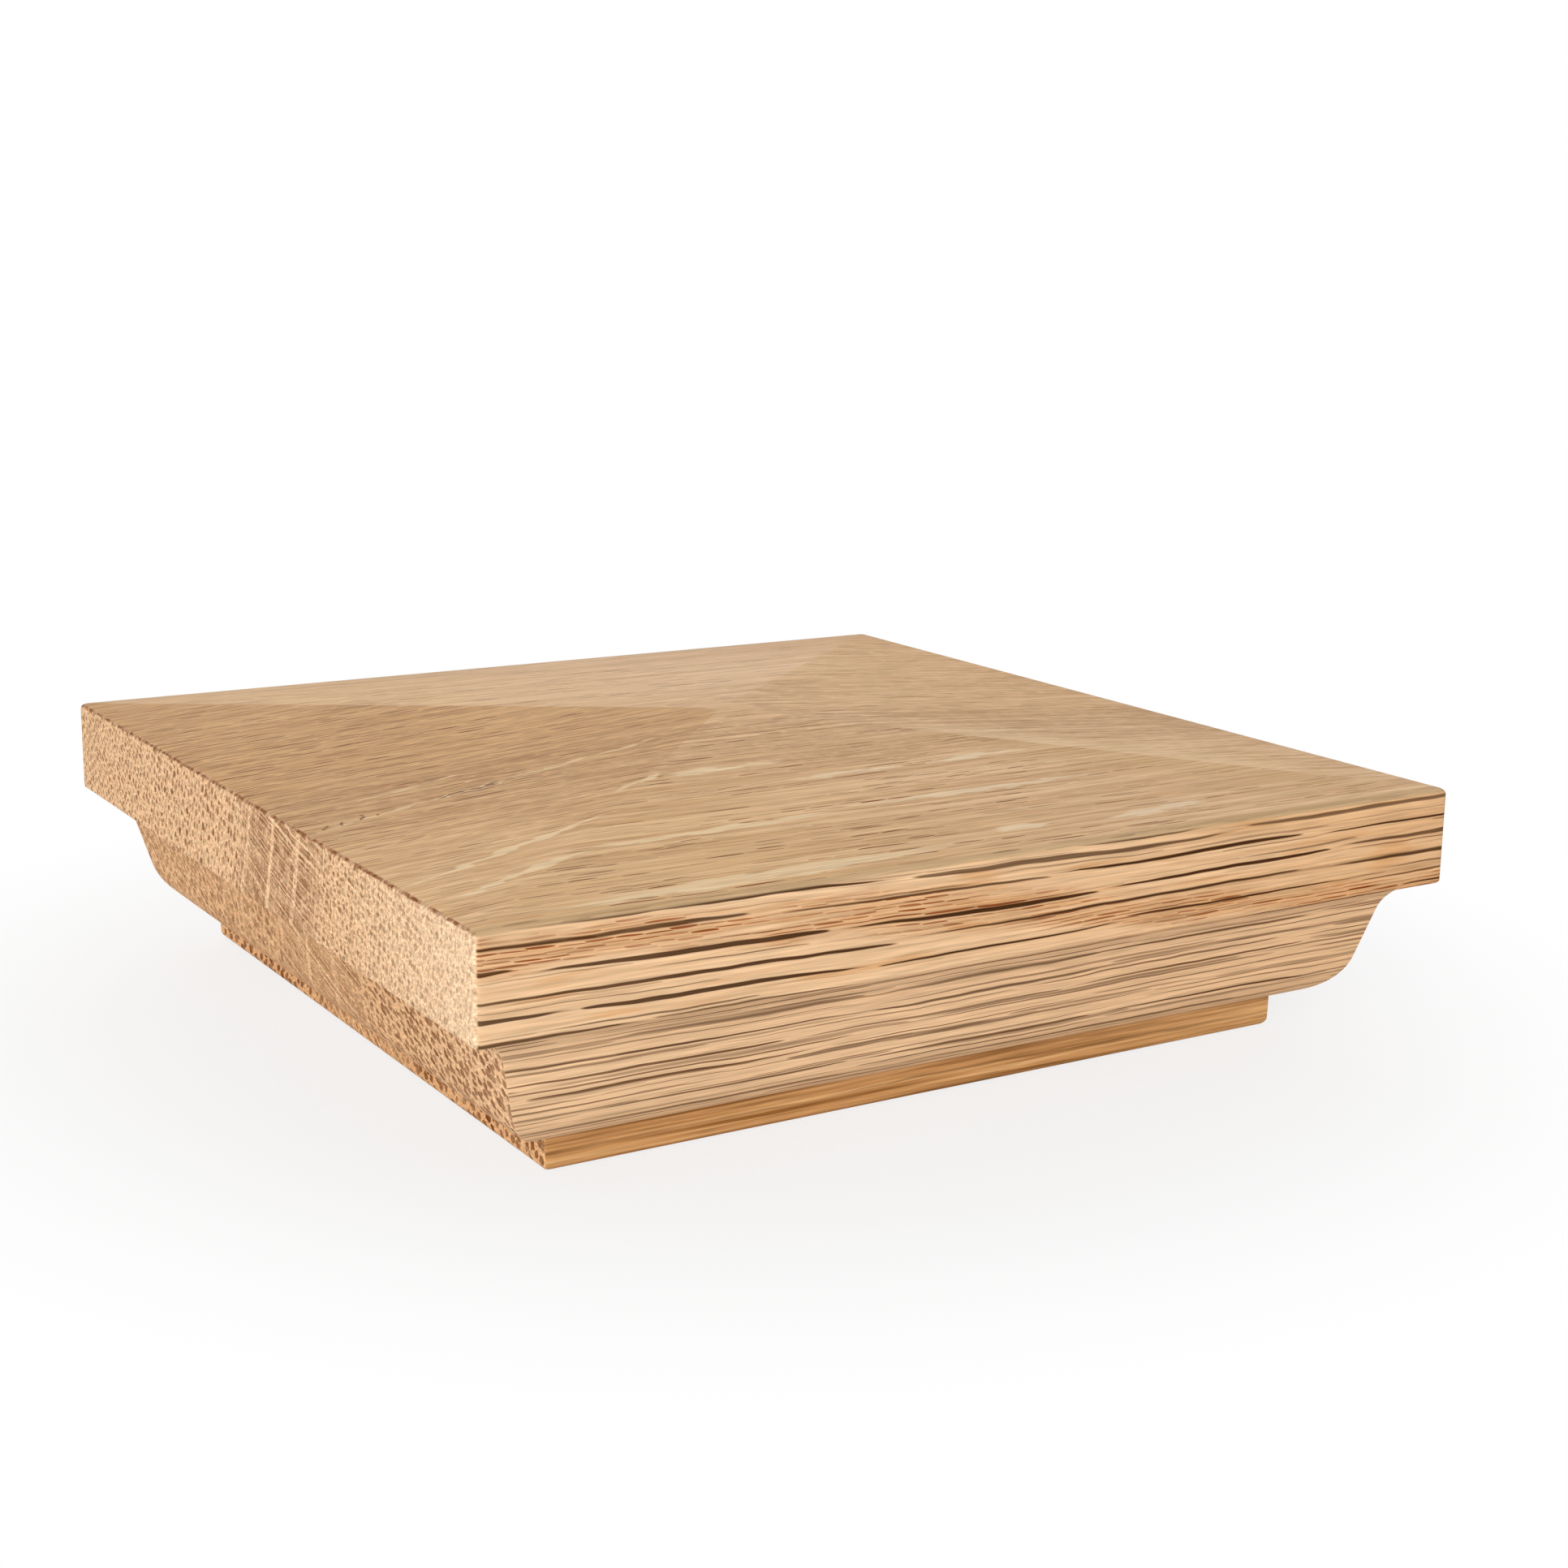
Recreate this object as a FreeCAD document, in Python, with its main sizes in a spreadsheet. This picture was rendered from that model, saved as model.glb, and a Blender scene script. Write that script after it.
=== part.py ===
# Newel post cap: one block of oak with a shallow pyramid top, a plain fascia, a mitred ogee and a plinth.
#
# The cap is built the way it is cut. A square blank, sawn too high, goes past two cutters on each of its
# four sides: one cuts the moulding (plinth wall, round, flank and cove), the other planes one slope of the
# pyramid. The four passes of each cutter meet at the corners, which gives the mitres and the hips. The
# arrises that hands touch are then eased.
#
# Millimetres, +Z up. The origin is the centre of the plinth's flat underside, and the grain runs along X.
import FreeCAD, Part

import enum
import math
import os

import Sketcher

# Driving sizes: millimetres, and degrees for the angle.
SIZES = {
    "post_width": (90.0, "side of the square post, and of the plinth that stands on it"),
    "overhang": (12.5, "how far the fascia stands out past the plinth"),
    "plinth_height": (4.0, "plain wall below the ogee"),
    "ogee_height": (13.8, "from the top of the plinth wall to the bottom of the fascia"),
    "fascia_height": (10.5, "plain face from the ogee to the eave"),
    "pyramid_rise": (4.2, "from the eave to the apex"),
    "cove_radius": (5.0, "hollow upper part of the ogee"),
    "flank_angle": (75.0, "steepest part of the ogee, measured from the horizontal"),
    "fascia_arris": (0.5, "rounding of the fascia's edges"),
    "foot_arris": (0.6, "rounding of the plinth's lower edges"),
}

SIDES = 4
CAP_WIDTH = "(Sizes.post_width + 2 * Sizes.overhang)"
EAVE_HEIGHT = "(Sizes.plinth_height + Sizes.ogee_height + Sizes.fascia_height)"
APEX_HEIGHT = f"({EAVE_HEIGHT} + Sizes.pyramid_rise)"
TOP_SLOPE = f"atan(Sizes.pyramid_rise / ({CAP_WIDTH} / 2))"


class Spot(enum.IntEnum):
    """Sketcher's numbers for the places on a line or an arc."""

    START = 1
    END = 2
    CENTRE = 3


class Datum(enum.IntEnum):
    """Sketcher's numbers for the sketch's own origin and vertical axis."""

    ORIGIN = -1
    VERTICAL_AXIS = -2


START, END, CENTRE = Spot
ORIGIN = (Datum.ORIGIN, START)


def size(name):
    """Return a driving size as a number, for the first guess of a sketch and for finding edges."""
    return SIZES[name][0]


def make_sheet(doc):
    """Write the driving sizes to a spreadsheet: name, value and meaning on one row each."""
    sheet = doc.addObject("Spreadsheet::Sheet", "Sizes")
    for row, (name, (value, meaning)) in enumerate(SIZES.items(), start=1):
        sheet.set(f"A{row}", name)
        sheet.set(f"B{row}", str(value))
        sheet.set(f"C{row}", meaning)
        sheet.setAlias(f"B{row}", name)
    doc.recompute()
    return sheet


def origin_feature(body, role):
    """Return the plane or axis of the body's origin that has this role."""
    return next(feature for feature in body.Origin.OriginFeatures if feature.Role == role)


def new_sketch(body, name, plane):
    """Add a sketch on one of the body's origin planes."""
    sketch = body.newObject("Sketcher::SketchObject", name)
    sketch.AttachmentSupport = [(origin_feature(body, plane), "")]
    sketch.MapMode = "FlatFace"
    return sketch


def drive(sketch, name, expression, *constraint):
    """Add a dimension whose value follows the spreadsheet."""
    index = sketch.addConstraint(Sketcher.Constraint(*constraint))
    sketch.renameConstraint(index, name)
    sketch.setExpression(f"Constraints.{name}", expression)


def fix(sketch, *constraints):
    """Add constraints that have no value."""
    for constraint in constraints:
        sketch.addConstraint(Sketcher.Constraint(*constraint))


def line(sketch, start, end):
    """Draw a straight line between two points (x, y) and return its number."""
    return sketch.addGeometry(Part.LineSegment(FreeCAD.Vector(*start, 0), FreeCAD.Vector(*end, 0)), False)


def arc(sketch, centre, radius, first, last):
    """Draw an arc anticlockwise between two angles in degrees and return its number."""
    circle = Part.Circle(FreeCAD.Vector(*centre, 0), FreeCAD.Vector(0, 0, 1), radius)
    return sketch.addGeometry(Part.ArcOfCircle(circle, math.radians(first), math.radians(last)), False)


def sawn_blank(body):
    """Pad the square blank, one pyramid's rise higher than the finished cap."""
    sketch = new_sketch(body, "blank_outline", "XY_Plane")
    half = size("post_width") / 2 + size("overhang")
    corners = [(-half, -half), (half, -half), (half, half), (-half, half)]
    sides = [line(sketch, corners[i], corners[(i + 1) % SIDES]) for i in range(SIDES)]
    for i in range(SIDES):
        fix(sketch, ("Coincident", sides[i], END, sides[(i + 1) % SIDES], START))
    front, right, back, left = sides
    fix(sketch,
        ("Horizontal", front), ("Horizontal", back), ("Vertical", right), ("Vertical", left),
        ("Equal", front, right),
        ("Symmetric", front, START, back, START, *ORIGIN))
    drive(sketch, "side", CAP_WIDTH, "DistanceX", front, START, front, END, 2 * half)
    blank = body.newObject("PartDesign::Pad", "sawn_blank")
    blank.Profile = sketch
    blank.setExpression("Length", f"{APEX_HEIGHT} + Sizes.pyramid_rise")
    return blank


def pass_through(body, sketch, name):
    """Run a cutter with this section along the whole side, both ways from the middle."""
    cut = body.newObject("PartDesign::Pocket", name)
    cut.Profile = sketch
    cut.SideType = "Symmetric"
    cut.Type = "ThroughAll"
    return cut


def moulding_pass(body):
    """Cut the plinth wall and the ogee on the +X side.

    The ogee starts level at the fascia's lower edge, hollows in as a cove, runs down a straight flank and
    comes out of a round that ends level at the plinth wall. The cove's radius and the flank's angle are
    given, and the round takes the radius that brings it to the wall.
    """
    sketch = new_sketch(body, "moulding_section", "XZ_Plane")
    reach = size("overhang")
    wall_x = size("post_width") / 2
    face_x = wall_x + reach
    round_z = size("plinth_height")
    cove_z = round_z + size("ogee_height")
    cove_radius = size("cove_radius")
    slope = math.radians(size("flank_angle"))
    both_radii = (reach * math.sin(slope) - size("ogee_height") * math.cos(slope)) / (1 - math.cos(slope))
    round_radius = both_radii - cove_radius
    cove_centre = (face_x, cove_z - cove_radius)
    round_centre = (wall_x, round_z + round_radius)
    normal = (math.sin(slope), -math.cos(slope))
    flank_top = (cove_centre[0] - cove_radius * normal[0], cove_centre[1] - cove_radius * normal[1])
    flank_foot = (round_centre[0] + round_radius * normal[0], round_centre[1] + round_radius * normal[1])
    angle = size("flank_angle")

    cove = arc(sketch, cove_centre, cove_radius, 90, 90 + angle)
    flank = line(sketch, flank_foot, flank_top)
    bulge = arc(sketch, round_centre, round_radius, -90, angle - 90)
    wall = line(sketch, (wall_x, round_z), (wall_x, -reach))
    under = line(sketch, (wall_x, -reach), (face_x + reach, -reach))
    outside = line(sketch, (face_x + reach, -reach), (face_x + reach, cove_z))
    above = line(sketch, (face_x + reach, cove_z), (face_x, cove_z))
    fix(sketch,
        ("Tangent", cove, END, flank, END),
        ("Tangent", flank, START, bulge, END),
        ("Coincident", bulge, START, wall, START),
        ("Coincident", wall, END, under, START),
        ("Coincident", under, END, outside, START),
        ("Coincident", outside, END, above, START),
        ("Coincident", above, END, cove, START),
        ("Vertical", cove, CENTRE, cove, START),
        ("Vertical", bulge, CENTRE, bulge, START),
        ("Vertical", wall), ("Horizontal", under), ("Vertical", outside), ("Horizontal", above))
    drive(sketch, "cove_radius", "Sizes.cove_radius", "Radius", cove, cove_radius)
    drive(sketch, "flank_angle", "Sizes.flank_angle * 1 deg", "Angle", flank, slope)
    drive(sketch, "wall_place", "Sizes.post_width / 2", "DistanceX", *ORIGIN, wall, START, wall_x)
    drive(sketch, "wall_top", "Sizes.plinth_height", "DistanceY", *ORIGIN, wall, START, round_z)
    drive(sketch, "overhang", "Sizes.overhang", "DistanceX", wall, START, cove, START, reach)
    drive(sketch, "ogee_height", "Sizes.ogee_height", "DistanceY", wall, START, cove, START, cove_z - round_z)
    drive(sketch, "clear_outside", "Sizes.overhang", "DistanceX", cove, START, outside, START, reach)
    drive(sketch, "clear_below", "Sizes.overhang", "DistanceY", wall, END, *ORIGIN, reach)
    return pass_through(body, sketch, "moulding_pass")


def slope_pass(body):
    """Plane the pyramid's slope on the -X side: all above a line through the apex comes off."""
    sketch = new_sketch(body, "slope_section", "XZ_Plane")
    half = size("post_width") / 2 + size("overhang")
    eave_z = size("plinth_height") + size("ogee_height") + size("fascia_height")
    apex_z = eave_z + size("pyramid_rise")
    reach = half + size("overhang")
    slope = math.atan(size("pyramid_rise") / half)
    rise = reach * math.tan(slope)

    apex = sketch.addGeometry(Part.Point(FreeCAD.Vector(0, apex_z, 0)), True)
    planed = line(sketch, (-reach, apex_z - rise), (reach, apex_z + rise))
    above = line(sketch, (reach, apex_z + rise), (-reach, apex_z + rise))
    outside = line(sketch, (-reach, apex_z + rise), (-reach, apex_z - rise))
    fix(sketch,
        ("Coincident", planed, END, above, START),
        ("Coincident", above, END, outside, START),
        ("Coincident", outside, END, planed, START),
        ("Horizontal", above), ("Vertical", outside),
        ("PointOnObject", apex, START, Datum.VERTICAL_AXIS),
        ("Symmetric", planed, START, planed, END, apex, START))
    drive(sketch, "apex_height", APEX_HEIGHT, "DistanceY", *ORIGIN, apex, START, apex_z)
    drive(sketch, "clear_outside", f"{CAP_WIDTH} / 2 + Sizes.overhang",
          "DistanceX", outside, START, *ORIGIN, reach)
    drive(sketch, "top_slope", TOP_SLOPE, "Angle", planed, slope)
    return pass_through(body, sketch, "slope_pass")


def all_sides(body, cuts):
    """Repeat the passes on all four sides."""
    pattern = body.newObject("PartDesign::PolarPattern", "all_sides")
    pattern.Originals = cuts
    pattern.Axis = (origin_feature(body, "Z_Axis"), [""])
    pattern.Angle = 360
    pattern.Occurrences = SIDES
    body.Tip = pattern
    return pattern


def eased(body, base, name, radius, wanted):
    """Round the edges of the base feature whose two ends pass a test."""
    edges = [
        f"Edge{number}"
        for number, edge in enumerate(base.Shape.Edges, start=1)
        if all(wanted(vertex.Point) for vertex in edge.Vertexes)
    ]
    fillet = body.newObject("PartDesign::Fillet", name)
    fillet.Base = (base, edges)
    fillet.setExpression("Radius", radius)
    body.Tip = fillet
    return fillet


def check(doc, body, steps):
    """Stop if an object failed, a step took nothing off, or the cap isn't one sound solid."""
    for item in doc.Objects:
        if {"Invalid", "Error"} & set(item.State):
            raise RuntimeError(f"{item.Name} failed: {item.State}")
    for before, after in zip(steps, steps[1:]):
        if not after.Shape.Volume < before.Shape.Volume:
            raise RuntimeError(f"{after.Name} takes nothing off {before.Name}")
    shape = body.Shape
    if shape.isNull() or not shape.isValid() or len(shape.Solids) != 1:
        raise RuntimeError(f"{body.Name} is not one sound solid")


def main():
    """Build the cap and write it."""
    doc = FreeCAD.newDocument("newel_post_cap")
    make_sheet(doc)
    body = doc.addObject("PartDesign::Body", "post_cap")
    body.Label = "post_cap"
    blank = sawn_blank(body)
    doc.recompute()
    moulding = moulding_pass(body)
    slope = slope_pass(body)
    doc.recompute()
    sides = all_sides(body, [moulding, slope])
    doc.recompute()

    half = size("post_width") / 2 + size("overhang")
    fascia_foot = size("plinth_height") + size("ogee_height")
    tolerance = 1e-6

    def on_fascia(point):
        return max(abs(point.x), abs(point.y)) > half - tolerance and point.z > fascia_foot - tolerance

    def on_foot(point):
        return abs(point.z) < tolerance

    fascia = eased(body, sides, "eased_fascia", "Sizes.fascia_arris", on_fascia)
    doc.recompute()
    foot = eased(body, fascia, "eased_foot", "Sizes.foot_arris", on_foot)
    doc.recompute()

    check(doc, body, [blank, moulding, slope, sides, fascia, foot])
    os.makedirs("parts", exist_ok=True)
    body.Shape.exportStep(f"parts/{body.Label}.step")
    box = body.Shape.optimalBoundingBox(True)
    print(f"{body.Label}: {box.XLength:.2f} x {box.YLength:.2f} x {box.ZLength:.2f} mm, "
          f"{body.Shape.Volume:.0f} mm3, {len(body.Shape.Faces)} faces")


main()
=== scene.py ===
"""Looks of an oak newel post cap: its moulded block, its bare grain and a plain white studio."""

from __future__ import annotations

import logging
import math
from abc import ABC, abstractmethod
from dataclasses import dataclass, field
from enum import Enum
from typing import Any

import bpy
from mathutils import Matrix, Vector

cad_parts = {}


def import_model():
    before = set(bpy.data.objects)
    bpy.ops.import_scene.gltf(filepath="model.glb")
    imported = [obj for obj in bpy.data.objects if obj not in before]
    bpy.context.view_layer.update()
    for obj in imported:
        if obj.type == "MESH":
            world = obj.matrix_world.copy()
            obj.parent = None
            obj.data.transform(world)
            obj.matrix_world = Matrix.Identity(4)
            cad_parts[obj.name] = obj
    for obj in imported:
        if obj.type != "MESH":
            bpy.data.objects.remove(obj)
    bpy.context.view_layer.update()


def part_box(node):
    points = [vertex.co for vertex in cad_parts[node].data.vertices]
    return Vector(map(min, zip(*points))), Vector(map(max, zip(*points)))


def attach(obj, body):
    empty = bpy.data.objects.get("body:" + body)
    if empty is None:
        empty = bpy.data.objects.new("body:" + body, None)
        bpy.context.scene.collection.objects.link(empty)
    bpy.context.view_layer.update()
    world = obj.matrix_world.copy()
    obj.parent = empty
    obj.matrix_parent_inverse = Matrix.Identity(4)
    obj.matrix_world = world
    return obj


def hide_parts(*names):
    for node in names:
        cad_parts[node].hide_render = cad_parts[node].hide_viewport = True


LOG = logging.getLogger("post_cap")
MM_PER_M = 1000.0
SIDES = 4.0
QUARTER_TURN = math.tau / SIDES
FAR = 1000.0
WHITE = (1.0, 1.0, 1.0, 1.0)
PORE_BROWN = "#6e3510"

Tree = bpy.types.NodeTree
Node = bpy.types.Node
Socket = bpy.types.NodeSocket
# A span holds the values between which something grows from nothing to all of it.
Span = tuple[float, float]
# A ramp holds two values and the shares that something has at them.
Ramp = tuple[float, float, float, float]
# Shares on the fascia, the ogee and the plinth.
Heights = tuple[float, float, float]

MATH = "ShaderNodeMath"
VECTOR = "ShaderNodeVectorMath"
RANGE = "ShaderNodeMapRange"
MIX = "ShaderNodeMix"
NOISE = "ShaderNodeTexNoise"
CHANCE = "ShaderNodeTexWhiteNoise"
VORONOI = "ShaderNodeTexVoronoi"
PLACE = "ShaderNodeTexCoord"
SPLIT = "ShaderNodeSeparateXYZ"
JOIN = "ShaderNodeCombineXYZ"
SOFT = "SMOOTHSTEP"


class Coat(Enum):
    """How a colour is laid over another."""

    COVER = "MIX"
    TINT = "MULTIPLY"


def linear_colour(code: str) -> tuple[float, float, float, float]:
    """Turn an sRGB hex colour into the linear one that shaders take.

    Args:
        code: Colour such as "#c9a67e".

    Returns:
        Linear red, green and blue, with an alpha of 1.
    """
    parts = [int(code[i:i + 2], 16) / 255.0 for i in (1, 3, 5)]
    red, green, blue = (c / 12.92 if c <= 0.04045 else ((c + 0.055) / 1.055) ** 2.4 for c in parts)
    return red, green, blue, 1.0


def metres(size: float) -> float:
    """Turn millimetres into metres."""
    return size / MM_PER_M


def blank_tree(owner: bpy.types.Material | bpy.types.World) -> Tree:
    """Give a material or a world an empty node tree.

    Args:
        owner: The material or the world.

    Returns:
        Its node tree.
    """
    owner.use_nodes = True
    owner.node_tree.nodes.clear()
    return owner.node_tree


def add_node(tree: Tree, kind: str, inputs: Any = None, **settings: Any) -> Node:
    """Add a node with its settings, values and links.

    Args:
        tree: Node tree that takes the node.
        kind: Blender's name for the type of node.
        inputs: Values, nodes or sockets, as a list in socket order or a dict by name or number.
        settings: Properties of the node itself.

    Returns:
        The new node.
    """
    node = tree.nodes.new(kind)
    for name, value in settings.items():
        setattr(node, name, value)
    pairs = inputs.items() if isinstance(inputs, dict) else enumerate(inputs or [])
    for key, value in pairs:
        if isinstance(key, str):
            socket = next(s for s in node.inputs if s.enabled and s.name == key)
        else:
            socket = node.inputs[key]
        if isinstance(value, Node):
            value = next(s for s in value.outputs if s.enabled)
        if isinstance(value, Socket):
            tree.links.new(value, socket)
        else:
            socket.default_value = value
    return node


def paint(tree: Tree, colour: Any, tone: str, *shares: Any, coat: Coat = Coat.COVER) -> Node:
    """Lay one colour over another.

    Args:
        tree: Node tree of the material.
        colour: The colour so far.
        tone: Hex code of the colour that is laid over it.
        shares: Numbers and nodes whose product says how much of it shows.
        coat: Whether the tone covers the colour or tints it.

    Returns:
        The mixed colour.
    """
    share = shares[0]
    for other in shares[1:]:
        share = add_node(tree, MATH, [share, other], operation="MULTIPLY")
    return add_node(tree, MIX, {"Factor": share, "A": colour, "B": linear_colour(tone)},
                    data_type="RGBA", blend_type=coat.value)


@dataclass(frozen=True)
class Cloud:
    """Noise whose lumps have these sizes along X, Y and Z, in millimetres."""

    cell: tuple[float, float, float]
    detail: float = 2.0

    def draw(self, tree: Tree, place: Any) -> Node:
        """Add the noise to a material.

        Args:
            tree: Node tree of the material.
            place: The point, in millimetres.

        Returns:
            Noise about 0.5.
        """
        cells = add_node(tree, VECTOR, [place, self.cell], operation="DIVIDE")
        return add_node(tree, NOISE, {"Vector": cells, "Scale": 1.0, "Detail": self.detail})


@dataclass(frozen=True)
class Rows:
    """Rows of long spindles side by side, such as rays cut across or pores cut along.

    pitch, length, thin, thick and soft are in millimetres: thin and thick are half thicknesses, and
    soft is the width of the blurred edge. stray is a spindle's play in its row, as a share of the
    pitch, and faint the strength of the faintest one. A higher skew makes thick ones rarer. spread
    holds the shares of the length between which lengths vary, shift the most by which one row leads
    another, in lengths, and slope how far the ends lean. A spindle is blunt at one end and drawn out
    at the other, and fading is the share of its thickness below which it pales.
    """

    pitch: float
    length: float
    thin: float
    thick: float
    soft: float
    stray: float
    faint: float
    skew: float
    seed: float
    spread: tuple[float, float] = (0.62, 1.7)
    shift: float = 57.0
    slope: float = 2.3
    blunt: float = 0.45
    drawn: float = 0.8
    fading: float = 0.4

    def draw(self, tree: Tree, across: Any, along: Any) -> Node:
        """Add the rows to a material.

        Args:
            tree: Node tree of the material.
            across: Distance across the rows, in millimetres.
            along: Distance along the rows, in millimetres.

        Returns:
            Strength of the spindle at the point, from 0 to 1.
        """
        lane = add_node(tree, MATH, [across, 1.0 / self.pitch, self.seed], operation="MULTIPLY_ADD")
        row = add_node(tree, MATH, [lane], operation="FLOOR")
        offset = add_node(tree, MATH, [lane, 1.0], operation="FLOORED_MODULO")
        offset = add_node(tree, MATH, [offset, 0.5], operation="SUBTRACT")
        luck = add_node(tree, CHANCE, {"W": row}, noise_dimensions="1D")
        luck = add_node(tree, SPLIT, [luck.outputs["Color"]])
        short, long = (self.length * share for share in self.spread)
        start = add_node(tree, MATH, [luck.outputs["X"], self.shift], operation="MULTIPLY")
        rate = add_node(tree, RANGE, [luck.outputs["Y"], 0.0, 1.0, 1.0 / long, 1.0 / short])
        leaning = add_node(tree, MATH, [offset, self.pitch * self.slope, along], operation="MULTIPLY_ADD")
        run = add_node(tree, MATH, [leaning, rate, start], operation="MULTIPLY_ADD")
        number = add_node(tree, MATH, [run], operation="FLOOR")
        taper = self.taper(tree, run, luck.outputs["Z"])
        pick = add_node(tree, CHANCE, {"Vector": add_node(tree, JOIN, [row, number])}, noise_dimensions="2D")
        pick = add_node(tree, SPLIT, [pick.outputs["Color"]])
        share = add_node(tree, MATH, [pick.outputs["Y"], self.skew], operation="POWER")
        half = add_node(tree, RANGE, [share, 0.0, 1.0, self.thin, self.thick])
        half = add_node(tree, MATH, [half, taper], operation="MULTIPLY")
        play = self.stray / 2.0
        centre = add_node(tree, RANGE, [pick.outputs["X"], 0.0, 1.0, -play, play])
        gap = add_node(tree, MATH, [offset, centre], operation="SUBTRACT")
        gap = add_node(tree, MATH, [gap], operation="ABSOLUTE")
        gap = add_node(tree, MATH, [gap, self.pitch], operation="MULTIPLY")
        edge = add_node(tree, MATH, [half, self.soft], operation="ADD")
        core = add_node(tree, MATH, [half, -self.soft / 2.0], operation="ADD")
        mask = add_node(tree, RANGE, [gap, edge, core, 0.0, 1.0], interpolation_type=SOFT)
        force = add_node(tree, RANGE, [pick.outputs["Z"], 0.0, 1.0, self.faint, 1.0])
        fade = add_node(tree, RANGE, [taper, 0.0, self.fading])
        force = add_node(tree, MATH, [force, fade], operation="MULTIPLY")
        return add_node(tree, MATH, [mask, force], operation="MULTIPLY")

    def taper(self, tree: Tree, run: Node, turn: Any) -> Node:
        """Swell a spindle from nothing at its ends to full thickness near its blunt end.

        Args:
            tree: Node tree of the material.
            run: Way along the row, in spindles.
            turn: Chance of the row, which says whether its spindles are turned round.

        Returns:
            Share of the full thickness, from 0 to 1.
        """
        part = add_node(tree, MATH, [run, 1.0], operation="FLOORED_MODULO")
        rest = add_node(tree, MATH, [1.0, part], operation="SUBTRACT")
        turned = add_node(tree, MATH, [turn, 0.5], operation="GREATER_THAN")
        near = add_node(tree, MIX, {"Factor": turned, "A": part, "B": rest}, data_type="FLOAT")
        far = add_node(tree, MATH, [1.0, near], operation="SUBTRACT")
        near = add_node(tree, MATH, [near, self.blunt], operation="POWER")
        far = add_node(tree, MATH, [far, self.drawn], operation="POWER")
        thickest = self.blunt / (self.blunt + self.drawn)
        peak = thickest ** self.blunt * (1.0 - thickest) ** self.drawn
        swell = add_node(tree, MATH, [near, far], operation="MULTIPLY")
        return add_node(tree, MATH, [swell, 1.0 / peak], operation="MULTIPLY")


@dataclass(frozen=True)
class Pits:
    """Pores that were cut across, as uneven dots in rows that point at the pith.

    across and along are the distances from pore to pore across the rays and along them, in
    millimetres. small and large are radii, as shares of those distances, core the share of a pore
    that has its full depth of colour, faint the strength of the faintest pore, and jumble how far
    the pores leave their rows.
    """

    across: float
    along: float
    small: float
    large: float
    core: float
    faint: float
    jumble: float = 0.85

    def draw(self, tree: Tree, spot: Node) -> Node:
        """Add the pits to a material.

        Args:
            tree: Node tree of the material.
            spot: Place across the rays and along them, in millimetres.

        Returns:
            Strength of the pore at the point, from 0 to 1.
        """
        cells = add_node(tree, VECTOR, [spot, (self.across, self.along, 1.0)], operation="DIVIDE")
        cells = add_node(tree, VORONOI, {"Vector": cells, "Scale": 1.0, "Randomness": self.jumble},
                         voronoi_dimensions="2D")
        pick = add_node(tree, SPLIT, [cells.outputs["Color"]])
        reach = add_node(tree, RANGE, [pick.outputs["X"], 0.0, 1.0, self.small, self.large])
        core = add_node(tree, MATH, [reach, self.core], operation="MULTIPLY")
        mask = add_node(tree, RANGE, [cells, reach, core, 0.0, 1.0], interpolation_type=SOFT)
        force = add_node(tree, RANGE, [pick.outputs["Y"], 0.0, 1.0, self.faint, 1.0])
        return add_node(tree, MATH, [mask, force], operation="MULTIPLY")


@dataclass(frozen=True)
class Ribbon:
    """A long mark on the pyramid, seen from above: its ends and width in millimetres, and its strength."""

    start: tuple[float, float]
    end: tuple[float, float]
    width: float
    strength: float = 1.0

    def draw(self, tree: Tree, spot: Node) -> Node:
        """Add the mark to a material.

        Args:
            tree: Node tree of the material.
            spot: The point seen from above, in millimetres.

        Returns:
            Distance from the middle of the mark, where 1 is its edge.
        """
        start = Vector((*self.start, 0.0))
        way = Vector((*self.end, 0.0)) - start
        inside = add_node(tree, "ShaderNodeMapping", {
            "Vector": spot,
            "Location": start + way / 2.0,
            "Rotation": (0.0, 0.0, math.atan2(way.y, way.x)),
            "Scale": (way.length / 2.0, self.width / 2.0, 1.0),
        }, vector_type="TEXTURE")
        return add_node(tree, VECTOR, [inside], operation="LENGTH")


@dataclass(frozen=True)
class Grain:
    """Where a point lies in the log and on the cap, in millimetres, and how its face cuts the log.

    early and late tell the start of a ring from the rest, and slow the rings that grew slowly. climb
    is the share of the slopes that rise along the grain, endways how far a face looks to +X, and
    lean how far it looks both to an end and up.
    """

    place: Node
    along: Socket
    across: Socket
    radius: Node
    angle: Node
    sweep: Node
    early: Node
    late: Node
    slow: Node
    slow_middle: float
    fibre: Node
    endways: Socket
    end_cut: Node
    radial_cut: Node
    tangent_cut: Node
    sanded_side: Node
    top: Node
    upward: Node
    lean: Node
    sideward: Node
    past_hip: Node
    climb: Node
    fascia: Node
    ogee: Node
    plinth: Node

    def by_height(self, tree: Tree, shares: Heights) -> Node:
        """Give a feature its own share at each height of the cap.

        Args:
            tree: Node tree of the material.
            shares: Its shares on the fascia, the ogee and the plinth.

        Returns:
            The share at the point.
        """
        on_fascia, on_ogee, on_plinth = shares
        share = add_node(tree, MATH, [self.fascia, on_fascia], operation="MULTIPLY")
        share = add_node(tree, MATH, [self.ogee, on_ogee, share], operation="MULTIPLY_ADD")
        return add_node(tree, MATH, [self.plinth, on_plinth, share], operation="MULTIPLY_ADD")


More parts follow.
